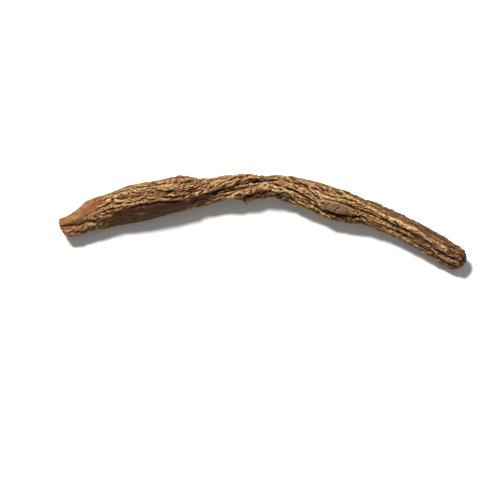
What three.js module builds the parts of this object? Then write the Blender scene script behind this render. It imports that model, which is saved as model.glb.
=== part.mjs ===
// A dried akarkara (pellitory) root in one piece, lying on its side on a flat surface.
// Millimetres, +Z up. X runs along the root from the broken crown end (-X) to the blunt tip (+X),
// and the root arches towards +Y. The origin is on the surface, under the middle of the root.
//
// The root starts as a LatheGeometry: the straight taproot, with its swellings and its two ends.
// Each of its points is then pressed into the shrivelled section at its place, marked with the
// ridges, furrows and knots that cross it, and carried onto the curved spine.
//
// A distance runs along the spine from the crown end. An angle goes round the section, in degrees:
// 0 faces straight up, 90 faces +Y, -90 faces -Y and 180 is underneath.

import * as THREE from "three";

// How finely the skin is divided: rings along the root, and facets round it.
const RINGS = 104;
const SECTORS = 36;

// The spine: where the middle of the root runs, as [x, y, height of the middle above the surface].
const SPINE = [
  [-71.0, 1.8, 5.0],
  [-64.2, 4.6, 5.1],
  [-57.0, 7.7, 5.4],
  [-46.5, 10.3, 6.0],
  [-34.5, 12.7, 6.6],
  [-23.0, 15.0, 5.8],
  [-11.0, 17.0, 4.7],
  [2.0, 16.9, 4.7],
  [12.5, 15.4, 5.4],
  [24.0, 10.9, 6.0],
  [36.0, 7.6, 5.3],
  [47.0, 3.0, 4.7],
  [58.0, -3.1, 4.3],
  [70.5, -10.7, 4.2],
];

// The straight root's girth, as [distance, radius].
const GIRTH = [
  [0, 3.2],
  [4.5, 3.7],
  [9, 4.45],
  [13, 5.2],
  [18.5, 5.7],
  [25, 6.75],
  [32, 6.85],
  [39, 6.45],
  [44.5, 5.8],
  [48.5, 5.15],
  [54, 4.4],
  [61, 4.2],
  [68, 4.4],
  [74.5, 3.8],
  [80.5, 4.3],
  [88, 4.85],
  [96, 5.2],
  [102, 5.0],
  [109, 4.5],
  [116, 4.15],
  [125, 4.15],
  [136, 4.2],
  [143, 4.15],
  [148, 3.95],
];

// The crown end is broken off nearly square and the tip is blunt: the length of rounding at each.
const CROWN_ROUNDING = 0.9;
const TIP_ROUNDING = 3.8;

// The crown broke on a slant: how much further its +Y side reaches than its -Y side, and how far
// along the root the slant is felt.
const CROWN_SLANT = 1.5;
const CROWN_SLANT_REACH = 6;

// Drying draws the section out of round: height over width, as [distance, ratio].
const FLATNESS = [
  [0, 0.86],
  [12, 0.94],
  [32, 0.9],
  [50, 0.98],
  [62, 1.08],
  [75, 1.0],
  [98, 0.93],
  [120, 1.02],
  [148, 0.98],
];

// Sides that dried flat, `spread` degrees to each side of their angle. The depth of each is given
// as [distance, depth].
const FLATS = [
  {
    name: "smooth_side", angle: -70, spread: 46,
    depth: [[14, 0], [22, 1.1], [38, 1.5], [46, 1], [53, 0]],
  },
  {
    name: "underside", angle: 176, spread: 42,
    depth: [[6, 0], [24, 0.7], [60, 0.3], [90, 0.5], [120, 0.4], [142, 0]],
  },
  {
    name: "tip_side", angle: -66, spread: 38,
    depth: [[112, 0], [122, 0.6], [138, 0.5], [146, 0]],
  },
  {
    name: "far_side", angle: 118, spread: 36,
    depth: [[20, 0], [30, 0.5], [44, 0.3], [58, 0.6], [72, 0.2], [92, 0.5], [108, 0]],
  },
];

// Ridges stand proud, and furrows have a negative height. Each follows its path of
// [distance, angle] points, is `wide` to each side of its middle, and fades over `fade` at its ends.
const RIDGES = [
  {
    name: "crown_notch", wide: 1.0, high: -1.0, fade: 4,
    path: [[-4, -16], [3, -18], [8, -24], [12, -40]],
  },
  {
    name: "crown_furrow_behind", wide: 1.2, high: -0.6, fade: 6,
    path: [[-4, 140], [8, 132], [20, 128]],
  },
  {
    name: "smooth_side_edge", wide: 1.3, high: 0.6, fade: 5,
    path: [[16, -10], [21, -18], [30, -31], [36, -35], [41, -44], [48, -62]],
  },
  {
    name: "smooth_side_lower_edge", wide: 1.5, high: 0.5, fade: 6,
    path: [[12, -118], [30, -116], [46, -112], [54, -104]],
  },
  {
    name: "body_ridge_upper", wide: 1.2, high: 0.35, fade: 5,
    path: [[20, 52], [30, 47], [42, 50], [48, 44]],
  },
  {
    name: "body_ridge_middle", wide: 1.1, high: 0.35, fade: 5,
    path: [[21, 20], [29, 14], [37, 12], [46, 4]],
  },
  {
    name: "body_furrow_upper", wide: 1.0, high: -0.4, fade: 6,
    path: [[22, 36], [32, 31], [41, 30], [47, 22]],
  },
  {
    name: "body_furrow_middle", wide: 1.0, high: -0.45, fade: 6,
    path: [[20, 4], [28, -4], [36, -6], [44, -14]],
  },
  {
    name: "under_furrow", wide: 1.3, high: -0.6, fade: 8,
    path: [[18, -150], [34, -160], [48, -142], [62, -146]],
  },
  {
    name: "twist_ridge_upper", wide: 1.2, high: 0.65, fade: 6,
    path: [[46, -30], [53, -6], [60, 4], [66, 26], [72, 44]],
  },
  {
    name: "twist_furrow", wide: 1.1, high: -1.1, fade: 5,
    path: [
      [48, -62], [52, -48], [57, -30], [62, -14], [66, -4],
      [70, 14], [74, 28], [77, 36], [81, 26], [87, 11],
    ],
  },
  {
    name: "twist_ridge_lower", wide: 1.2, high: 0.75, fade: 6,
    path: [[52, -92], [58, -78], [65, -53], [70, -31], [75, -14], [81, -22], [90, -38]],
  },
  {
    name: "twist_hollow", wide: 1.6, high: -0.9, fade: 7,
    path: [[56, -112], [64, -88], [71, -66], [78, -60], [86, -72]],
  },
  {
    name: "twist_furrow_behind", wide: 1.3, high: -1.0, fade: 8,
    path: [[46, 96], [56, 122], [68, 158], [80, 176], [92, 168]],
  },
  {
    name: "twist_ridge_behind", wide: 1.4, high: 0.6, fade: 8,
    path: [[44, 126], [56, 150], [68, 186], [80, 204], [94, 198]],
  },
  {
    name: "waist_ridge", wide: 1.1, high: 0.45, fade: 6,
    path: [[74, 62], [80, 56], [88, 44], [97, 40], [104, 46]],
  },
  {
    name: "waist_furrow", wide: 0.95, high: -0.65, fade: 6,
    path: [[78, 40], [86, 26], [94, 22], [102, 24], [108, 14]],
  },
  {
    name: "knot_rim_lower", wide: 1.1, high: -0.85, fade: 4,
    path: [[90, -58], [96, -68], [102, -66], [108, -54]],
  },
  {
    name: "crest", wide: 1.1, high: 0.7, fade: 5,
    path: [[100, 50], [105, 33], [110, 16], [114, 6], [118, -1], [124, 0], [130, -1], [137, -9], [144, -12]],
  },
  {
    name: "crest_furrow_upper", wide: 0.95, high: -0.8, fade: 6,
    path: [[108, 40], [114, 14], [118, 12], [127, 18], [135, 19], [141, 18], [146, 30]],
  },
  {
    name: "crest_furrow_lower", wide: 1.1, high: -0.75, fade: 6,
    path: [[108, -14], [114, -24], [121, -32], [130, -34], [140, -40]],
  },
  {
    name: "tip_ridge_lower", wide: 1.3, high: 0.55, fade: 7,
    path: [[110, -40], [118, -56], [128, -60], [140, -66]],
  },
  {
    name: "tip_furrow_behind", wide: 1.2, high: -0.8, fade: 8,
    path: [[96, 110], [108, 100], [122, 96], [136, 108], [146, 112]],
  },
  {
    name: "tip_furrow_under", wide: 1.2, high: -0.7, fade: 8,
    path: [[92, -136], [106, -128], [120, -140], [138, -134]],
  },
];

// Knots, scars and dents: raised or sunk spots, `long` along the root and `wide` across it.
const SPOTS = [
  { name: "crown_lobe", at: 5.5, angle: -66, long: 4.5, wide: 2.6, high: 0.5 },
  { name: "crown_waist", at: 6.5, angle: 96, long: 3, wide: 3.4, high: -0.35 },
  { name: "crown_shoulder", at: 12.5, angle: 66, long: 3.6, wide: 3.2, high: 0.5 },
  { name: "body_knob", at: 39, angle: 22, long: 2.6, wide: 2, high: 0.5 },
  { name: "hump", at: 45.6, angle: 68, long: 3.2, wide: 3.2, high: 1.2 },
  { name: "hump_step", at: 50.6, angle: 74, long: 2, wide: 3, high: -0.35 },
  { name: "eye", at: 49.2, angle: -10, long: 2, wide: 1.6, high: -0.85 },
  { name: "waist_hump", at: 60, angle: 62, long: 4, wide: 2.6, high: 0.3 },
  { name: "rootlet_scar", at: 67.5, angle: -100, long: 2.4, wide: 2, high: 0.45 },
  { name: "waist_knob", at: 80.5, angle: 64, long: 2.6, wide: 2.4, high: 0.35 },
  { name: "lower_hollow", at: 76.5, angle: -104, long: 3.2, wide: 2.8, high: -0.75 },
  { name: "knot_behind", at: 86, angle: 128, long: 3.6, wide: 2.4, high: 0.8 },
  { name: "knot", at: 101.5, angle: -24, long: 3.8, wide: 2.6, high: 0.75 },
  { name: "knot_dish", at: 101, angle: -22, long: 1.9, wide: 1.6, high: -0.3 },
  { name: "knot_swelling", at: 102, angle: -96, long: 5, wide: 4, high: 0.45 },
  { name: "crest_nick", at: 125.8, angle: 70, long: 1.5, wide: 2.8, high: -0.5 },
  { name: "tip_dimple", at: 145, angle: -26, long: 2.2, wide: 1.8, high: -0.4 },
];

// Where the root bears on the surface: three stretches of its length, each touching at its lowest
// point. Tilting the root onto them is repeated, because it can change which point is lowest.
const BEARINGS = [
  [10, 34],
  [54, 84],
  [126, 146],
];
const BEARING_PASSES = 8;

const spine = new THREE.CatmullRomCurve3(SPINE.map((point) => new THREE.Vector3(...point)));
spine.arcLengthDivisions = 2000;
const LENGTH = spine.getLength();

// A smooth value at a distance, through [distance, value] pairs. It is level beyond the ends.
function valueAt(pairs, distance) {
  const last = pairs.length - 1;
  if (distance <= pairs[0][0]) return pairs[0][1];
  if (distance >= pairs[last][0]) return pairs[last][1];
  const i = pairs.findIndex((pair) => pair[0] > distance) - 1;
  const gap = pairs[i + 1][0] - pairs[i][0];
  const s = (distance - pairs[i][0]) / gap;
  const slopeAt = (j) => {
    const before = pairs[Math.max(j - 1, 0)];
    const after = pairs[Math.min(j + 1, last)];
    return (gap * (after[1] - before[1])) / (after[0] - before[0]);
  };
  const start = slopeAt(i);
  const end = slopeAt(i + 1);
  const rise = pairs[i + 1][1] - pairs[i][1];
  return pairs[i][1] + s * start + s ** 2 * (3 * rise - 2 * start - end) + s ** 3 * (start + end - 2 * rise);
}

// The shorter way round from one angle to another, in degrees.
const turnBetween = (from, to) => THREE.MathUtils.euclideanModulo(to - from + 180, 360) - 180;
const bell = (x) => Math.exp(-x * x);

// The straight root's radius at a distance, with both its ends rounded off.
function radiusAt(distance) {
  const rounding = (share) => Math.sqrt(1 - (1 - Math.min(share, 1)) ** 2);
  const crown = rounding(distance / CROWN_ROUNDING);
  const tip = rounding((LENGTH - distance) / TIP_ROUNDING);
  return valueAt(GIRTH, distance) * crown * tip;
}

// How far the shrivelled skin stands out from the straight root's, at a place with that girth.
function reliefAt(distance, angle, girth) {
  const across = (middle) => THREE.MathUtils.degToRad(turnBetween(middle, angle)) * girth;
  let relief = 0;
  for (const flat of FLATS) {
    relief -= valueAt(flat.depth, distance) * bell(turnBetween(flat.angle, angle) / flat.spread);
  }
  for (const ridge of RIDGES) {
    const start = ridge.path[0][0];
    const end = ridge.path.at(-1)[0];
    const half = ridge.fade / 2;
    const begun = THREE.MathUtils.smoothstep(distance, start - half, start + half);
    const ended = THREE.MathUtils.smoothstep(distance, end - half, end + half);
    relief += ridge.high * begun * (1 - ended) * bell(across(valueAt(ridge.path, distance)) / ridge.wide);
  }
  for (const spot of SPOTS) {
    relief += spot.high * bell((distance - spot.at) / spot.long) * bell(across(spot.angle) / spot.wide);
  }
  return relief;
}

// The straight root, turned about its own axis. Its rings lie closer together towards both ends.
function straightRoot() {
  const profile = [];
  for (let ring = RINGS; ring >= 0; ring--) {
    const share = ring / RINGS;
    const distance = (share - 0.06 * Math.sin(2 * Math.PI * share)) * LENGTH;
    const onAxis = ring === 0 || ring === RINGS;
    profile.push(new THREE.Vector2(onAxis ? 0 : radiusAt(distance), distance));
  }
  return new THREE.LatheGeometry(profile, SECTORS);
}

// Shrivels each point of the straight root and carries it onto the spine.
function shrivelAndBend(geometry) {
  const points = geometry.getAttribute("position");
  for (let i = 0; i < points.count; i++) {
    const distance = THREE.MathUtils.clamp(points.getY(i), 0, LENGTH);
    const radius = Math.hypot(points.getX(i), points.getZ(i));
    const turn = Math.atan2(points.getX(i), points.getZ(i));
    const girth = valueAt(GIRTH, distance);
    const share = radius / girth;
    const skin = radius + share * reliefAt(distance, THREE.MathUtils.radToDeg(turn), girth);
    const slantFelt = Math.max(1 - distance / CROWN_SLANT_REACH, 0);
    const slant = (CROWN_SLANT / 2) * slantFelt * share * Math.sin(turn);
    const along = spine.getTangentAt(distance / LENGTH);
    const up = new THREE.Vector3(0, 0, 1).addScaledVector(along, -along.z).normalize();
    const side = new THREE.Vector3().crossVectors(up, along);
    const point = spine.getPointAt(distance / LENGTH);
    point.addScaledVector(side, Math.sin(turn) * skin);
    point.addScaledVector(up, Math.cos(turn) * skin * valueAt(FLATNESS, distance));
    point.addScaledVector(along, -slant);
    points.setXYZ(i, point.x, point.y, point.z);
  }
}

// Sits the root on the surface at its bearings, then puts the origin under its middle.
function setDown(geometry, distances) {
  const points = geometry.getAttribute("position");
  const lowestBetween = ([from, to]) => {
    const lowest = new THREE.Vector3(0, 0, Infinity);
    for (let i = 0; i < points.count; i++) {
      const between = distances[i] >= from && distances[i] <= to;
      if (between && points.getZ(i) < lowest.z) lowest.fromBufferAttribute(points, i);
    }
    return lowest;
  };
  for (let pass = 0; pass < BEARING_PASSES; pass++) {
    const ground = new THREE.Plane().setFromCoplanarPoints(...BEARINGS.map(lowestBetween));
    const { normal, constant } = ground;
    for (let i = 0; i < points.count; i++) {
      const groundZ = -(normal.x * points.getX(i) + normal.y * points.getY(i) + constant) / normal.z;
      points.setZ(i, points.getZ(i) - groundZ);
    }
  }
  geometry.computeBoundingBox();
  const { min, max } = geometry.boundingBox;
  geometry.translate(-(min.x + max.x) / 2, -(min.y + max.y) / 2, -min.z);
}

const skin = straightRoot();
const distances = Array.from(skin.getAttribute("position").array).filter((_, i) => i % 3 === 1);
shrivelAndBend(skin);
setDown(skin, distances);
skin.computeVertexNormals();

const bark = new THREE.MeshStandardMaterial({ color: 0x88633f, roughness: 0.85, metalness: 0 });
const root = new THREE.Mesh(skin, bark);
root.name = "akarkara_root";

const group = new THREE.Group();
group.add(root);

export default group;
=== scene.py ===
import math

import bpy
import numpy as np
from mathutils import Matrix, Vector, noise
from mathutils.bvhtree import BVHTree


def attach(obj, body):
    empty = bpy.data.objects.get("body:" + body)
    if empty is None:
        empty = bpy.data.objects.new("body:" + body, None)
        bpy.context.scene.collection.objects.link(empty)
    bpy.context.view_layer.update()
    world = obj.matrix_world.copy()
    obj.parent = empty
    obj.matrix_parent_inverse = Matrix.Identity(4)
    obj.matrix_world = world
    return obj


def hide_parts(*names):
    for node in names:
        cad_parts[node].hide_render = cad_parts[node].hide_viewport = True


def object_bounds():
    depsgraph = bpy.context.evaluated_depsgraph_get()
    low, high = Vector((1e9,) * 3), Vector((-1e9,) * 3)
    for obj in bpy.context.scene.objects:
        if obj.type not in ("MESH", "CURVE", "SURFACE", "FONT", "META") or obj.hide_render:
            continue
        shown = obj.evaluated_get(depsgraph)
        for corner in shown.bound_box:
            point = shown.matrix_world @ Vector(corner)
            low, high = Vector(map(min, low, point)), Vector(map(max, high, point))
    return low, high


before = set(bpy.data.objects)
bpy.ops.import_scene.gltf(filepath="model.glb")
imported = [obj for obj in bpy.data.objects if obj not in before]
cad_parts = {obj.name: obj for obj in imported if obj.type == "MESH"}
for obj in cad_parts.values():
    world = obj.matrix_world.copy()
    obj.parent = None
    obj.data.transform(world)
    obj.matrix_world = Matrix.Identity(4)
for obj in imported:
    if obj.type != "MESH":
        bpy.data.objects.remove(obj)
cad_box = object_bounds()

# =====================================================================================
# The taproot: one woody root of akarkara (pellitory), dug up, cut from its leaves and
# dried whole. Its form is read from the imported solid, by feeling outwards from the
# middle of the root to its skin all along and all round. Working sizes are in mm.
# =====================================================================================
MM = 0.001
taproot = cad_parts["akarkara_root"]
solid_points = np.array([vertex.co for vertex in taproot.data.vertices]) / MM


def blur(grid, along, around=0.0):
    """A grid softened over so many rows along the root, and so many columns round it."""
    for axis, sigma, edges in ((0, along, "edge"), (1, around, "wrap")):
        if sigma == 0:
            continue
        reach = int(3 * sigma) + 1
        weights = np.exp(-0.5 * (np.arange(-reach, reach + 1) / sigma) ** 2)
        margins = [(0, 0)] * grid.ndim
        margins[axis] = (reach, reach)
        wide = np.pad(grid, margins, mode=edges)
        count = grid.shape[axis]
        shifted = (np.take(wide, np.arange(k, k + count), axis=axis) for k in range(len(weights)))
        grid = sum(weight * layer for weight, layer in zip(weights / weights.sum(), shifted))
    return grid


def unit(vectors):
    return vectors / np.linalg.norm(vectors, axis=-1, keepdims=True)


def frame_along(line):
    """At each point of a line: its direction, the way up across it, and the way to its side."""
    forward = unit(np.gradient(line, axis=0))
    up = unit(np.array([0.0, 0.0, 1.0]) - forward * forward[:, 2:])
    return forward, up, np.cross(up, forward)


def middle_line(points, stations=72, slab=1.3, reach=12.0):
    """The middle of the root from end to end, found from slices across it."""
    low, high = points[:, 0].min(), points[:, 0].max()
    line = np.zeros((stations, 3))
    line[:, 0] = np.linspace(low + 1.5, high - 1.5, stations)
    for station in line:
        ring = points[abs(points[:, 0] - station[0]) < 2]
        station[1:] = (ring.min(0) + ring.max(0))[1:] / 2
    for _ in range(4):
        chord = np.linspace(line[0], line[-1], stations)
        line = chord + blur(line - chord, 1.2)
        forward, up, side = frame_along(line)
        for i, station in enumerate(line):
            away = points - station
            near = (abs(away @ forward[i]) < slab) & (np.linalg.norm(away, axis=1) < reach)
            for across in (up[i], side[i]):
                spans = away[near] @ across
                station += across * (spans.min() + spans.max()) / 2
    return line


solid_faces = [tuple(face.vertices) for face in taproot.data.polygons]
solid = BVHTree.FromPolygons([tuple(point) for point in solid_points], solid_faces)


def skin_from(start, direction):
    """How far the skin is from a point inside the root, in mm."""
    return solid.ray_cast(Vector(start), Vector(direction))[3] or 0.0


slices = middle_line(solid_points)
first_way, last_way = unit(slices[0] - slices[2]), unit(slices[-1] - slices[-3])
crown_end = slices[0] + first_way * skin_from(slices[0], first_way)
tip_end = slices[-1] + last_way * skin_from(slices[-1], last_way)
spine = np.vstack([crown_end, slices, tip_end])
spine_distance = np.insert(np.cumsum(np.linalg.norm(np.diff(spine, axis=0), axis=1)), 0, 0.0)
LENGTH = spine_distance[-1]

# The skin is a fine net: rings across the root, closing over each end like a cap round a
# hub that lies a little inside it.
COLUMNS = 176
BODY_ROWS = 500
CAP_ROWS = 28
CROWN_HUB = 3.0
TIP_HUB = 3.6

body_distance = np.linspace(CROWN_HUB, LENGTH - TIP_HUB, BODY_ROWS)
middle = np.stack([np.interp(body_distance, spine_distance, spine[:, k]) for k in range(3)], axis=1)
chord = np.linspace(middle[0], middle[-1], BODY_ROWS)
middle = chord + blur(middle - chord, 8)
forward, up, side = frame_along(middle)

cap_turn = np.radians(90) * np.arange(1, CAP_ROWS + 1) / (CAP_ROWS + 1)
row_turn = np.concatenate([cap_turn, np.full(BODY_ROWS, np.pi / 2), cap_turn[::-1]])
row_place = np.concatenate([np.zeros(CAP_ROWS), np.arange(BODY_ROWS), np.full(CAP_ROWS, BODY_ROWS - 1)])
row_place = row_place.astype(int)
row_lean = np.concatenate([-np.ones(CAP_ROWS), np.zeros(BODY_ROWS), np.ones(CAP_ROWS)])
row_lean = row_lean * np.cos(row_turn)
angles = np.linspace(-np.pi, np.pi, COLUMNS, endpoint=False)

hubs = middle[row_place][:, None, :]
outward = np.cos(angles)[None, :, None] * up[row_place][:, None, :]
outward = outward + np.sin(angles)[None, :, None] * side[row_place][:, None, :]
rays = np.sin(row_turn)[:, None, None] * outward
rays = rays + row_lean[:, None, None] * forward[row_place][:, None, :]
ROWS = len(row_turn)

reach_out = np.array([[skin_from(hubs[i, 0], rays[i, j]) for j in range(COLUMNS)] for i in range(ROWS)])
reach_out = blur(reach_out, 3.0, 4.0)
form = hubs + reach_out[:, :, None] * rays

# Where each point of the skin lies on the straight root: its distance from the crown, and
# its angle round the section, 0 on top, 90 towards +Y and -90 towards -Y.
distance = body_distance[row_place][:, None] + row_lean[:, None] * reach_out
girth = np.sin(row_turn)[:, None] * reach_out
angle = np.degrees(angles)[None, :] + np.zeros((ROWS, 1))
full_girth = blur(girth.mean(1, keepdims=True), 10)


def normals_of(points):
    across = np.roll(points, -1, axis=1) - np.roll(points, 1, axis=1)
    along = np.gradient(points, axis=0)
    return unit(np.cross(along, across))


def through(pairs, at):
    """A smooth value at each distance, through given (distance, value) pairs."""
    places, values = np.array(pairs, float).T
    slopes = np.gradient(values, places)
    i = np.clip(np.searchsorted(places, at) - 1, 0, len(places) - 2)
    gap = places[i + 1] - places[i]
    s = np.clip((at - places[i]) / gap, 0, 1)
    start, end, rise = slopes[i] * gap, slopes[i + 1] * gap, values[i + 1] - values[i]
    return values[i] + s * start + s**2 * (3 * rise - 2 * start - end) + s**3 * (start + end - 2 * rise)


def turned(from_angle):
    """How far round the skin each point is from an angle, in degrees, the shorter way."""
    return (angle - from_angle + 180) % 360 - 180


def patch(at, at_angle, long, wide, hardness=2.0):
    """1 on an oval spot of the skin, falling to 0 beyond it. Sizes are half-lengths in mm."""
    across = np.radians(turned(at_angle)) * full_girth
    return np.exp(-(((distance - at) / long) ** 2 + (across / wide) ** 2) ** (hardness / 2))


# =====================================================================================
# The shrunken skin: as the root dried, its thin corky bark sank into long ridges and
# sharp creases that run with the grain, fork and join, and twist where the root twists.
# It is raised here on the taproot's form, coarse folds first and the fine ones last.
# =====================================================================================
# How far the grain has turned round the root at each distance, in degrees.
GRAIN_TURN = [
    (0, 0), (14, 6), (44, -24), (54, 0), (66, 44),
    (76, 76), (88, 52), (104, 24), (118, 0), (150, -6),
]

turned_angle = np.radians(angle - through(GRAIN_TURN, distance))
straight = np.stack([distance, girth * np.cos(turned_angle), girth * np.sin(turned_angle)], axis=2)


def noise_grid(places, size, octaves=3, seed=0.0):
    """Smooth noise between about -1 and 1 on the grid, with lumps of that size in mm."""
    scaled = places / np.array(size) + seed
    values = [noise.fractal(point, 0.9, 2.0, octaves) for point in scaled.reshape(-1, 3).tolist()]
    return np.array(values).reshape(ROWS, COLUMNS)


def cell_grid(places, size, seed=0.0):
    """How far each point is from the border of its cell, 0 on the border and about 1 inside."""
    scaled = places / np.array(size) + seed
    nearest = [noise.voronoi(point)[0] for point in scaled.reshape(-1, 3).tolist()]
    nearest = np.sqrt(np.abs(np.array(nearest)[:, :2]))
    return (nearest[:, 1] - nearest[:, 0]).reshape(ROWS, COLUMNS)


def folded(places, size, octaves, seed, ceiling):
    """Rounded ridges parted by sharp creases: noise folded at zero and cut off at a ceiling."""
    return np.minimum(np.abs(noise_grid(places, size, octaves, seed)), ceiling)


# The places where the bark dried smooth: the flat side, the red patch and the cheek by the
# crown, the knot, and the clean stretch behind it.
broken_edge = 0.3 * noise_grid(straight, (6, 2.2, 2.2), 3, 47.0)
smooth_side = np.clip((patch(33, -76, 19, 5.4, 3) + broken_edge - 0.30) / 0.25, 0, 1)
red_patch = patch(13, 26, 4.5, 3.0, 3)
crown_cheek = patch(6, 10, 6.0, 3.4, 3)
knot = patch(102.0, -35, 5.0, 3.4, 8)
far_smooth = patch(88, 52, 5, 1.8, 3)
upper_smooth = patch(25, 66, 14, 2.8, 3)
tip_ridge = patch(130, 34, 15, 1.5, 4)
smooth_places = (
    (0.88, smooth_side),
    (0.7, red_patch),
    (0.75, crown_cheek),
    (0.92, knot),
    (0.6, far_smooth),
    (0.6, tip_ridge),
    (0.62, upper_smooth),
)
rough = np.prod([1 - share * place for share, place in smooth_places], axis=0)

# The grain wanders: everything finer is laid out on these shifted places.
WANDER = 1.1
shift = np.stack([noise_grid(straight, (9, 4, 4), 2, seed) for seed in (11.3, 27.1, 43.7)], axis=2)
wandering = straight + shift * np.array([2.4, WANDER, WANDER])
waver = 0.5 * noise_grid(straight, (5, 3, 3), 2, 52.0)


def trail(path, wide, fade=4.0, sharpness=2.0):
    """1 along a path of (distance, angle) points, falling to 0 at each side and at its ends."""
    across = np.radians(turned(through(path, distance))) * full_girth + waver
    start, end = path[0][0], path[-1][0]
    ends = np.clip((distance - start) / fade + 0.5, 0, 1) * np.clip((end - distance) / fade + 0.5, 0, 1)
    return ends * np.exp(-np.abs(across / wide) ** sharpness)


# On the thick body the bark stands in close wavy pleats. Elsewhere it is looser and lumpier,
# and towards the tip it is drawn out straight.
PLEAT_WIDTH = 1.35
pleat_turn = turned_angle * 6.2 / PLEAT_WIDTH * np.pi
pleat_sway = 3.4 * noise_grid(straight, (7, 3.2, 3.2), 2, 90.0)
pleat_sway += 0.8 * noise_grid(straight, (2.2, 1.5, 1.5), 2, 93.0)
pleats = np.abs(np.sin(pleat_turn / 2 + pleat_sway)) ** 0.7
body_pleats = np.clip(patch(33, 8, 19, 6.5, 4) + 0.2, 0, 1)
tangle = np.exp(-np.abs((distance - 74) / 24) ** 4)
long_folds = folded(wandering, (17, 2.9, 2.9), 2, 3.1, 0.45)
short_folds = folded(wandering, (7.5, 1.7, 1.7), 2, 9.4, 0.4)
lumps = 1 - np.exp(-cell_grid(wandering, (5.0, 1.9, 1.9), 5.2) / 0.16)
small_lumps = 1 - np.exp(-cell_grid(wandering, (2.4, 0.8, 0.8), 8.8) / 0.13)
crests = folded(wandering, (5.5, 1.25, 1.25), 2, 31.6, 0.35)
fine_folds = folded(wandering, (3.6, 0.95, 0.95), 2, 12.4, 0.3)
grit = noise_grid(wandering, (0.9, 0.5, 0.5), 3, 1.7)
swelling = noise_grid(straight, (8, 5, 5), 2, 15.5)
cross_folds = folded(wandering, (5.0, 2.4, 2.4), 2, 39.0, 0.35)
faint_lines = folded(wandering, (9, 1.3, 1.3), 3, 77.0, 0.3)
drawn_out = folded(straight, (28, 1.7, 1.7), 2, 64.0, 0.4)
uneven = np.clip(0.75 + 0.9 * noise_grid(straight, (10, 6, 6), 2, 21.0), 0.2, 1.4)

straighter = np.clip((distance - 106) / 14, 0, 1)
lumpy = rough * (1 - 0.8 * straighter)

# The relief is the sum of these layers: how high each stands in mm, where it stands, and its
# shape.
LAYERS = [
    (0.30, 1, swelling),
    (0.7 + 0.4 * tangle, rough, long_folds),
    (0.45 + 0.3 * tangle, lumpy, short_folds),
    (-0.8, rough, crests),
    (0.36, rough * body_pleats, pleats),
    (0.20 * (1 + 0.5 * tangle), lumpy * uneven, lumps),
    (1.2, rough * straighter, drawn_out),
    (0.5, smooth_side, faint_lines),
    (0.15 - 0.06 * tangle, 0.05 + 0.95 * lumpy, small_lumps),
    (0.28 * tangle, lumpy, cross_folds),
    (0.85 * (1 - 0.3 * straighter - 0.35 * tangle), rough, fine_folds),
    (0.12, 0.2 + 0.8 * rough, grit),
]
relief = sum(height * where * layer for height, where, layer in LAYERS)

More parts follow.
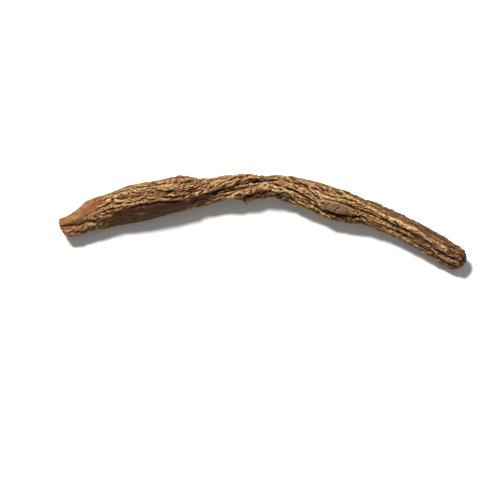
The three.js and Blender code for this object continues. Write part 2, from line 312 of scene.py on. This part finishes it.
# Creases are negative and ridges positive: (name, height, half-width, sharpness, path).
FOLDS = [
    ("crown notch", -0.6, 0.45, 1.3, [(-3, -20), (2, -21), (6, -28), (10, -40), (13, -56)]),
    ("crown lobe", 0.6, 1.3, 2.0, [(-1, -66), (4, -68), (8, -76)]),
    (
        "edge of the smooth side", 0.35, 0.5, 2.0,
        [(16, -8), (21, -14), (30, -26), (36, -31), (41, -39), (48, -58)],
    ),
    ("crease under the edge", -0.7, 0.45, 1.4, [(17, -16), (23, -24), (31, -35), (37, -40), (43, -50)]),
    ("body crease, high", -0.5, 0.4, 1.3, [(19, 42), (26, 34), (33, 30), (40, 32), (47, 24)]),
    ("body crease, middle", -0.55, 0.4, 1.3, [(20, 14), (26, 6), (34, 2), (40, -4), (46, -14)]),
    ("body crease, low", -0.5, 0.35, 1.3, [(19, -8), (26, -14), (33, -20), (39, -24), (45, -34)]),
    ("body crease, top", -0.4, 0.4, 1.3, [(21, 62), (30, 56), (38, 60), (44, 52)]),
    ("step behind the hump", -0.5, 0.6, 1.5, [(46, 22), (49, 40), (51, 66), (53, 88)]),
    (
        "twisted crease", -0.85, 0.5, 1.2,
        [(48, -60), (52, -47), (57, -29), (62, -14), (66, -4), (70, 12), (74, 28), (77, 37)],
    ),
    ("twisted crease, on", -0.65, 0.4, 1.3, [(75, 40), (79, 32), (83, 22), (88, 10), (93, 8)]),
    ("twisted ridge, high", 0.4, 0.55, 2.0, [(50, -30), (55, -14), (61, 4), (66, 18), (70, 34), (75, 50)]),
    (
        "twisted ridge, low", 0.5, 0.55, 2.0,
        [(54, -82), (59, -70), (65, -56), (70, -36), (75, -16), (80, -22), (86, -36)],
    ),
    (
        "crease between the twists", -0.8, 0.45, 1.3,
        [(56, -52), (61, -34), (66, -26), (71, -10), (75, 6), (80, 0)],
    ),
    ("hollow under the twist", -0.6, 0.8, 1.6, [(60, -100), (66, -78), (72, -62), (78, -58), (84, -66)]),
    ("slanted ridge, first", 0.5, 0.45, 2.0, [(72, -16), (76, -26), (80, -40)]),
    ("slanted ridge, second", 0.5, 0.45, 2.0, [(76, -8), (80, -18), (84, -32)]),
    ("slanted ridge, third", 0.45, 0.4, 2.0, [(80, -2), (84, -12), (88, -24)]),
    ("slanted ridge, fourth", 0.45, 0.4, 2.0, [(85, 2), (89, -8), (93, -20)]),
    ("waist crease", -0.8, 0.4, 1.3, [(79, -12), (84, -22), (89, -30), (94, -44)]),
    ("waist crease, high", -0.8, 0.4, 1.3, [(84, 30), (90, 20), (95, 14), (102, 16), (108, 20)]),
    ("knot rim", -1.0, 0.6, 1.3, [(92, -50), (96, -66), (102, -72), (107, -66), (112, -46)]),
    ("knot crease, far end", -0.6, 0.4, 1.3, [(104, 2), (107, -10), (109, -26), (110, -44)]),
    ("knot crease, high", -0.6, 0.4, 1.3, [(94, -10), (98, -8), (103, -5), (109, -10)]),
    (
        "crest", 0.5, 0.45, 2.0,
        [(102, 44), (105, 33), (110, 16), (114, 6), (118, -1), (124, 0), (130, -1), (137, -9), (143, -12)],
    ),
    (
        "crease above the crest", -0.8, 0.4, 1.3,
        [(108, 34), (112, 20), (116, 10), (119, 10), (127, 17), (135, 18), (141, 18), (147, 32)],
    ),
    (
        "crease below the crest", -0.75, 0.4, 1.3,
        [(106, -4), (112, -14), (118, -24), (124, -24), (131, -22), (138, -30), (145, -34)],
    ),
    ("nick across the crest", -0.45, 0.4, 1.5, [(124, 84), (126, 62), (127, 40)]),
    ("tip crease", -0.8, 0.45, 1.3, [(120, -62), (128, -56), (137, -62), (146, -70)]),
    ("back crease", -0.6, 0.5, 1.3, [(14, 118), (24, 108), (36, 112), (46, 104)]),
    ("back crease, waist", -0.7, 0.5, 1.3, [(46, 96), (56, 122), (68, 156), (80, 176), (92, 168)]),
    ("back crease, tip", -0.6, 0.5, 1.3, [(96, 110), (108, 100), (122, 96), (136, 108), (146, 112)]),
    ("under crease", -0.5, 0.5, 1.3, [(18, -150), (34, -160), (48, -142), (62, -146)]),
    ("under crease, tip", -0.5, 0.5, 1.3, [(92, -136), (106, -128), (120, -140), (138, -134)]),
]
ragged = np.clip(0.95 + 0.6 * noise_grid(wandering, (4.5, 2.2, 2.2), 2, 61.0), 0.4, 1.4)
FOLD_FADE = 5
for name, height, wide, sharpness, path in FOLDS:
    relief += height * trail(path, wide, FOLD_FADE, sharpness) * ragged

# Knots and scars stand out of the skin, and eyes sink into it: (height, at, angle, long, wide).
KNOBS = [
    (0.45, 39.5, 18, 2.0, 1.2),
    (-0.6, 49.2, -14, 1.6, 0.8),
    (0.35, 93.5, 4, 1.8, 1.0),
    (0.35, 97.5, -4, 1.5, 0.9),
    (0.3, 99.5, -12, 1.4, 0.9),
    (-0.25, 101, -30, 1.6, 1.0),
    (0.3, 12, 60, 2.2, 2.0),
]
for height, at, at_angle, long, wide in KNOBS:
    relief += height * patch(at, at_angle, long, wide)

# Fine splits cross the knot and the red patch: (at, angle, half-length, slant, depth).
SPLITS = [
    (98.8, -28, 2.2, 0.6, 0.20),
    (101.6, -35, 3.1, 0.15, 0.36),
    (103.0, -24, 1.2, -0.1, 0.18),
    (105.0, -42, 1.8, -0.5, 0.26),
    (10.6, 12, 1.3, 0.2, 0.12),
    (14.2, 30, 1.8, 0.9, 0.16),
]
for at, at_angle, half_length, slant, depth in SPLITS:
    across = np.radians(turned(at_angle)) * full_girth
    from_split = np.abs(distance - at - slant * across + 2.2 * waver)
    relief -= depth * np.exp(-from_split / 0.16) * np.exp(-((across / half_length) ** 4))

# The broken crown is torn across the grain, so its end is fibrous and ragged.
torn = np.exp(-np.clip(distance, 0, None) / 1.1)
relief += torn * 0.3 * noise_grid(straight, (2.0, 0.8, 0.8), 3, 70.0)

relief -= blur(relief, 14, 16)
skin = form + relief[:, :, None] * normals_of(form)

# Nothing reaches under the floor or outside the solid's own box by more than a hair.
HAIR = 0.3
low_corner, high_corner = (np.array(corner) / MM for corner in cad_box)
skin[:, :, 2] = np.maximum(skin[:, :, 2], low_corner[2])
skin = np.clip(skin, low_corner - HAIR, high_corner + HAIR)
skin[:, :, 2] = np.maximum(skin[:, :, 2], low_corner[2])


def net_mesh(name, net, first_pole, last_pole):
    """A closed skin over rings of points, with a point at each end, and a UV map of the net."""
    rows, columns = net.shape[:2]
    points = np.vstack([net.reshape(-1, 3), first_pole, last_pole]) * MM
    first, last = rows * columns, rows * columns + 1
    faces, corners = [], []
    for j in range(columns):
        left, right = j / columns, (j + 1) / columns
        k = (j + 1) % columns
        for i in range(rows - 1):
            low, high = (i + 1) / (rows + 1), (i + 2) / (rows + 1)
            faces.append((i * columns + j, (i + 1) * columns + j, (i + 1) * columns + k, i * columns + k))
            corners += [(low, left), (high, left), (high, right), (low, right)]
        end = (rows - 1) * columns
        faces += [(first, j, k), (last, end + k, end + j)]
        near, far = 1 / (rows + 1), rows / (rows + 1)
        corners += [(0.0, (left + right) / 2), (near, left), (near, right)]
        corners += [(1.0, (left + right) / 2), (far, right), (far, left)]
    mesh = bpy.data.meshes.new(name)
    mesh.from_pydata(points.tolist(), [], faces)
    mesh.uv_layers.new(name="OFBake").data.foreach_set("uv", np.array(corners).ravel())
    mesh.polygons.foreach_set("use_smooth", np.ones(len(faces), bool))
    mesh.update()
    return mesh


crown_pole = skin[0].mean(0) - forward[0] * 0.05
tip_pole = skin[-1].mean(0) + forward[-1] * 0.1
bark_mesh = net_mesh("root_bark_skin", skin, crown_pole, tip_pole)
bark = bpy.data.objects.new("root_bark_skin", bark_mesh)
bpy.context.collection.objects.link(bark)


def mark(mesh, name, values, first, last, kind="FLOAT"):
    """Stores a value for every point of the net on its mesh, for the bark's nodes to read."""
    width = 3 if kind == "FLOAT_VECTOR" else 1
    flat = np.concatenate([values.reshape(-1, width), np.array([first, last], float).reshape(-1, width)])
    key = "vector" if kind == "FLOAT_VECTOR" else "value"
    mesh.attributes.new(name, kind, "POINT").data.foreach_set(key, flat.ravel())


# Masks for darkening the bark: the narrow creases, and the broad hollows, whose darkening is painted shade.
hollow = np.clip((blur(relief, 1.8, 2.6) - relief) / 0.14 - 0.14, 0, 1)
broad_hollow_shade = np.clip((blur(relief, 9, 11) - relief) / 0.6 - 0.5, 0, 1)
raised = np.clip((relief - blur(relief, 4, 5)) / 0.24 - 0.1, 0, 1)
grain_places = wandering - shift * 0.3

mark(bark_mesh, "grain", grain_places, (-0.5, 0, 0), (LENGTH, 0, 0), "FLOAT_VECTOR")
mark(bark_mesh, "hollow", np.clip(hollow + 0.8 * broad_hollow_shade, 0, 1), 0.3, 0.3)
mark(bark_mesh, "raised", raised, 0, 0)
soft_edge = 0.35 * noise_grid(wandering, (4, 1.5, 1.5), 3, 81.0)


def zone(*spots):
    """A patch of the bark's colour with a ragged edge, for its stains and its painted shade: 1 inside its
    spots and 0 away from them.
    """
    cover = sum(spots)
    return np.clip((cover + soft_edge * cover * 2 - 0.25) / 0.5, 0, 1)


# Painted shade: the bark is darkened under the knot, along the underside below the twist and in the eye dent,
# where shade falls. The smooth side is darker bark of its own, darkened further as painted shade.
painted_shade_under_knot = patch(104, -84, 9, 1.8)
STAINS_AND_PAINTED_SHADE = {
    "red": (
        patch(14, 26, 5.0, 2.6),
        0.6 * patch(11, 4, 3, 2),
        0.5 * patch(3, -50, 5, 3),
        0.55 * patch(60, -38, 14, 4.5),
    ),
    # the smooth side's own dark brown deepened as painted shade, with painted shade under the knot, under the
    # twist and in the eye dent
    "dark_side_and_painted_shade": (smooth_side, painted_shade_under_knot, patch(70, -85, 12, 2.5), patch(49.2, -14, 1.8, 0.8)),
    "shaded": (
        trail([(22, -40), (32, -52), (42, -58), (52, -72)], 1.3, 6),
        patch(45, -64, 6, 1.9),
        0.8 * painted_shade_under_knot,
    ),
    # A darker olive-grey band along the upper edge: partly weathering, partly painted shade where the top
    # edge faces away from the light.
    "weathered_top_and_shade": (trail([(14, 76), (44, 72), (86, 66), (118, 60), (146, 58)], 1.8, 6),),
    "grey": (knot, 0.6 * patch(88, 56, 6, 2)),
    "tan": (
        patch(97, 0, 5, 2),
        patch(80, -38, 7, 2.2),
        0.8 * patch(40, 18, 2, 1.6),
        patch(58, 10, 5, 1.4),
        trail([(106, 28), (110, 16), (114, 6), (118, -1), (124, 0), (131, -1)], 0.6, 6),
        patch(141, 2, 0.9, 0.7),
    ),
    "plum": (
        tip_ridge,
        patch(137, 10, 14, 2.2),
        trail([(54, -44), (62, -20), (70, 6), (76, 30)], 1.0, 6),
        patch(140, -30, 10, 1.4),
    ),
}
for name, spots in STAINS_AND_PAINTED_SHADE.items():
    mark(bark_mesh, name, zone(*spots), 0, 0)
mark(bark_mesh, "rough", rough, 1, 1)
towards_tip = np.clip((distance - 114) / 24, 0, 1)
mark(bark_mesh, "tip", towards_tip + 0.5 * patch(5, -62, 8, 3.5), 0.4, 1)

# The bark's colours, from the creases up to the rubbed ridges. The near-black of the deepest creases, the
# crease red of the shaded bands, and part of the dark side's and the weathered top's colours are painted
# shade.
CREASE_DIRT_AND_SHADE = (0.010, 0.0030, 0.0012)
DEEP_BROWN = (0.070, 0.027, 0.010)
BARK_BROWN = (0.175, 0.085, 0.030)
PALE_BROWN = (0.310, 0.172, 0.066)
RIDGE_TAN = (0.700, 0.465, 0.205)
WARM_BROWN = (0.200, 0.080, 0.032)
OLIVE_BROWN = (0.175, 0.112, 0.042)
RED_BROWN = (0.180, 0.057, 0.016)
SIDE_BROWN_AND_PAINTED_SHADE = (0.046, 0.019, 0.009)
KNOT_GREY = (0.165, 0.107, 0.058)
TIP_BROWN = (0.085, 0.037, 0.018)
WEATHERED_TOP_AND_SHADE = (0.070, 0.052, 0.028)
PLUM_BROWN = (0.080, 0.034, 0.022)
CREASE_RED_AND_SHADE = (0.055, 0.015, 0.006)


class Nodes:
    """Shorthand for wiring a material's nodes."""

    def __init__(self, name):
        self.material = bpy.data.materials.new(name)
        self.material.use_nodes = True
        self.tree = self.material.node_tree
        self.shader = self.tree.nodes["Principled BSDF"]

    def add(self, kind, inputs=(), **settings):
        node = self.tree.nodes.new(kind)
        for key, value in settings.items():
            setattr(node, key, value)
        for key, value in dict(inputs).items():
            self.feed(node.inputs[key], value)
        return node

    def feed(self, socket, value):
        if isinstance(value, bpy.types.NodeSocket):
            self.tree.links.new(value, socket)
        else:
            socket.default_value = value

    def read(self, name):
        return self.add("ShaderNodeAttribute", attribute_name=name)

    def math(self, operation, first, second=0.0, clamp=False):
        node = self.add("ShaderNodeMath", operation=operation, use_clamp=clamp)
        self.feed(node.inputs[0], first)
        self.feed(node.inputs[1], second)
        return node.outputs[0]

    def scaled(self, value, times, plus):
        """A value times one number, plus another."""
        node = self.add("ShaderNodeMath", {0: value, 1: times, 2: plus}, operation="MULTIPLY_ADD")
        return node.outputs[0]

    def blend(self, factor, first, second):
        node = self.add("ShaderNodeMix", data_type="RGBA")
        for socket, value in zip((node.inputs[0], node.inputs[6], node.inputs[7]), (factor, first, second)):
            self.feed(socket, (*value, 1.0) if isinstance(value, tuple) else value)
        return node.outputs[2]

    def ramp(self, factor, low, high):
        """0 below low, 1 above high and even between them."""
        node = self.add("ShaderNodeMapRange", {"From Min": low, "From Max": high})
        self.feed(node.inputs["Value"], factor)
        return node.outputs["Result"]

    def speckle(self, places, size, detail=3.0, roughness=0.55):
        """Noise from 0 to 1 whose lumps are size mm along the root and across it."""
        scale = tuple(1 / length for length in size)
        stretched = self.add("ShaderNodeMapping", {"Vector": places, "Scale": scale})
        made = self.add(
            "ShaderNodeTexNoise",
            {"Vector": stretched.outputs[0], "Scale": 1.0, "Detail": detail, "Roughness": roughness},
        )
        return made.outputs[0]


def dried_bark():
    nodes = Nodes("dried_root_bark")
    places = nodes.read("grain").outputs["Vector"]
    hollow, raised = nodes.read("hollow").outputs["Fac"], nodes.read("raised").outputs["Fac"]
    stain = nodes.speckle(places, (11, 4, 4), 3)
    warmth = nodes.speckle(places, (6.5, 2.2, 2.2), 3, 0.6)
    streak = nodes.speckle(places, (3.4, 0.55, 0.55), 4, 0.6)
    fleck = nodes.speckle(places, (0.75, 0.40, 0.40), 3, 0.65)
    thread = nodes.speckle(places, (4.0, 0.22, 0.22), 2, 0.5)

    colour = nodes.blend(nodes.ramp(stain, 0.36, 0.64), DEEP_BROWN, BARK_BROWN)
    colour = nodes.blend(nodes.ramp(streak, 0.40, 0.72), colour, PALE_BROWN)
    colour = nodes.blend(nodes.math("MULTIPLY", nodes.ramp(warmth, 0.50, 0.64), 0.6), colour, WARM_BROWN)
    colour = nodes.blend(nodes.math("MULTIPLY", nodes.ramp(warmth, 0.48, 0.34), 0.6), colour, OLIVE_BROWN)
    for tint_name, share, tint_colour in (
        ("red", 0.85, RED_BROWN),
        ("grey", 0.85, KNOT_GREY),
        ("tip", 0.75, TIP_BROWN),
        ("plum", 0.6, PLUM_BROWN),
        # the smooth side's dark brown, deepened as painted shade, and the painted shade under the knot and
        # the twist
        ("dark_side_and_painted_shade", 0.9, SIDE_BROWN_AND_PAINTED_SHADE),
        # olive-grey weathering along the upper edge, darkened further as painted shade
        ("weathered_top_and_shade", 0.8, WEATHERED_TOP_AND_SHADE),
    ):
        cover = nodes.math("MULTIPLY", nodes.read(tint_name).outputs["Fac"], share)
        colour = nodes.blend(cover, colour, tint_colour)

    busy = nodes.scaled(nodes.read("rough").outputs["Fac"], 0.85, 0.15)
    busy = nodes.math("MULTIPLY", busy, nodes.scaled(nodes.read("tip").outputs["Fac"], -0.3, 1.0))
    rubbed = nodes.math("MULTIPLY", raised, busy)
    rubbed = nodes.math("MULTIPLY", rubbed, nodes.ramp(fleck, 0.40, 0.64))
    colour = nodes.blend(nodes.math("MULTIPLY", rubbed, 0.8), colour, RIDGE_TAN)
    tan = nodes.math("MULTIPLY", nodes.read("tan").outputs["Fac"], nodes.ramp(streak, 0.35, 0.6))
    colour = nodes.blend(nodes.math("MULTIPLY", tan, 0.6), colour, RIDGE_TAN)
    bright_flecks = nodes.math("MULTIPLY", nodes.ramp(fleck, 0.54, 0.76), busy)
    colour = nodes.blend(nodes.math("MULTIPLY", bright_flecks, 0.65), colour, RIDGE_TAN)
    dark_flecks = nodes.math("MULTIPLY", nodes.ramp(fleck, 0.47, 0.27), busy)
    colour = nodes.blend(nodes.math("MULTIPLY", dark_flecks, 0.8), colour, DEEP_BROWN)
    # Painted shade: the shaded bands take the crease red. The creases below take the bark's red-brown, and
    # the deepest go near black as painted shade over dirt.
    colour = nodes.blend(nodes.math("MULTIPLY", nodes.read("shaded").outputs["Fac"], 0.6), colour, CREASE_RED_AND_SHADE)
    threads = nodes.math("MULTIPLY", nodes.ramp(thread, 0.43, 0.30), 0.6)
    creased = nodes.math("ADD", hollow, threads, clamp=True)
    colour = nodes.blend(nodes.ramp(creased, 0.0, 0.75), colour, CREASE_RED_AND_SHADE)
    colour = nodes.blend(nodes.ramp(creased, 0.55, 1.1), colour, CREASE_DIRT_AND_SHADE)
    nodes.feed(nodes.shader.inputs["Base Color"], colour)

    dull = nodes.scaled(nodes.ramp(fleck, 0.3, 0.7), 0.22, 0.58)
    nodes.feed(nodes.shader.inputs["Roughness"], dull)
    nodes.shader.inputs["Specular IOR Level"].default_value = 0.1

    height = nodes.math("MULTIPLY", fleck, 0.6)
    height = nodes.math("ADD", height, nodes.math("MULTIPLY", thread, 0.5))
    bump = nodes.add("ShaderNodeBump", {"Height": height, "Strength": 0.8, "Distance": 0.3 * MM})
    nodes.feed(nodes.shader.inputs["Normal"], bump.outputs[0])
    return nodes.material


bark_finish = dried_bark()
bark_mesh.materials.append(bark_finish)
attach(bark, "root")
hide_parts("akarkara_root")

# =====================================================================================
# The rootlet: one thin side root, missed when the taproot was trimmed. It grows out of the
# bark under the twist and has dried to a short, dark, curling thread.
# =====================================================================================
ROOTLET_AT = (67.0, -98.0)
ROOTLET_BEND = [(-0.7, 0.0), (0.4, 0.1), (1.0, 0.0), (1.5, -0.4), (1.8, -1.0)]
ROOTLET_CURL = 0.5
ROOTLET_THICK = 0.24
ROOTLET_TAPER = (1.5, 0.35)
ROOTLET_RINGS = 16
ROOTLET_SECTORS = 12
ROOTLET_BROWN = (0.060, 0.025, 0.012)

near_rootlet = np.abs(distance - ROOTLET_AT[0]) + 0.2 * np.abs(turned(ROOTLET_AT[1]))
foot_place = np.unravel_index(np.argmin(near_rootlet), near_rootlet.shape)
foot, away_from_skin = skin[foot_place], normals_of(form)[foot_place]
sideways = unit(np.cross(away_from_skin, [1.0, 0.0, 0.0]))
bends = [foot + out * away_from_skin + [ROOTLET_CURL * out * out, 0, drop] for out, drop in ROOTLET_BEND]
steps = np.linspace(0, len(bends) - 1, ROOTLET_RINGS)
rootlet_line = np.stack([np.interp(steps, range(len(bends)), along) for along in np.array(bends).T], axis=1)
rootlet_line = rootlet_line[0] + blur(rootlet_line - rootlet_line[0], 1.2)
rootlet_way = unit(np.gradient(rootlet_line, axis=0))
rootlet_up = unit(np.cross(rootlet_way, sideways))
rootlet_side = np.cross(rootlet_up, rootlet_way)
rootlet_width = ROOTLET_THICK * np.linspace(*ROOTLET_TAPER, ROOTLET_RINGS) * (1 + 0.2 * np.sin(steps * 7))
round_it = np.linspace(0, 2 * np.pi, ROOTLET_SECTORS, endpoint=False)[None, :, None]
rootlet_ring = np.cos(round_it) * rootlet_up[:, None] + np.sin(round_it) * rootlet_side[:, None]
rootlet_net = rootlet_line[:, None] + rootlet_width[:, None, None] * rootlet_ring

rootlet_mesh = net_mesh("rootlet", rootlet_net, rootlet_line[0], rootlet_line[-1])
rootlet = bpy.data.objects.new("rootlet", rootlet_mesh)
bpy.context.collection.objects.link(rootlet)
rootlet_finish = bpy.data.materials.new("dry_rootlet")
rootlet_finish.use_nodes = True
rootlet_shader = rootlet_finish.node_tree.nodes["Principled BSDF"]
rootlet_shader.inputs["Base Color"].default_value = (*ROOTLET_BROWN, 1)
rootlet_shader.inputs["Roughness"].default_value = 0.8
rootlet_shader.inputs["Specular IOR Level"].default_value = 0.1
rootlet_mesh.materials.append(rootlet_finish)
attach(rootlet, "root")

# =====================================================================================
# The surface it lies on: a wide pale card, plain and matt.
# =====================================================================================
FLOOR_SIDE = 4.0
bpy.ops.mesh.primitive_plane_add(size=FLOOR_SIDE, location=(0, 0, cad_box[0][2] - 0.02 * MM))
card = bpy.context.object
card.name = "pale_card"
card_finish = bpy.data.materials.new("pale_card")
card_finish.use_nodes = True
card_shader = card_finish.node_tree.nodes["Principled BSDF"]
card_shader.inputs["Base Color"].default_value = (0.86, 0.86, 0.85, 1)
card_shader.inputs["Roughness"].default_value = 0.9
card.data.materials.append(card_finish)

# =====================================================================================
# The studio: one broad soft light from behind and above, a weak one from the front, and
# an even pale surround. The camera looks steeply down on the root.
# =====================================================================================
def soft_light(name, place, size, power, warmth=(1, 1, 1)):
    lamp = bpy.data.lights.new(name, "AREA")
    lamp.shape = "DISK"
    lamp.size = size
    lamp.energy = power
    lamp.color = warmth
    holder = bpy.data.objects.new(name, lamp)
    holder.location = place
    holder.rotation_euler = (-Vector(place)).to_track_quat("-Z", "Y").to_euler()
    bpy.context.collection.objects.link(holder)


soft_light("broad_light", (-0.38, 0.44, 0.82), 0.26, 21.0, (1.0, 0.97, 0.93))
soft_light("front_light", (0.5, -0.9, 0.8), 0.9, 2.0)

surround = bpy.context.scene.world or bpy.data.worlds.new("surround")
bpy.context.scene.world = surround
surround.use_nodes = True
surround.node_tree.nodes["Background"].inputs["Color"].default_value = (1, 1, 1, 1)
surround.node_tree.nodes["Background"].inputs["Strength"].default_value = 0.22
bpy.context.scene.view_settings.view_transform = "Standard"

ELEVATION = math.radians(72)
LENS = 120.0
SENSOR = 36.0
ROOT_SHARE = 0.818
AIM = (-0.0040, -0.0106, 0.005)

eye = bpy.data.cameras.new("eye")
eye.lens = LENS
eye.sensor_width = SENSOR
root_length = cad_box[1][0] - cad_box[0][0]
away = root_length / ROOT_SHARE * LENS / SENSOR
camera = bpy.data.objects.new("eye", eye)
camera.location = Vector(AIM) + away * Vector((0, -math.cos(ELEVATION), math.sin(ELEVATION)))
camera.rotation_euler = (math.pi / 2 - ELEVATION, 0, 0)
bpy.context.collection.objects.link(camera)
bpy.context.scene.camera = camera
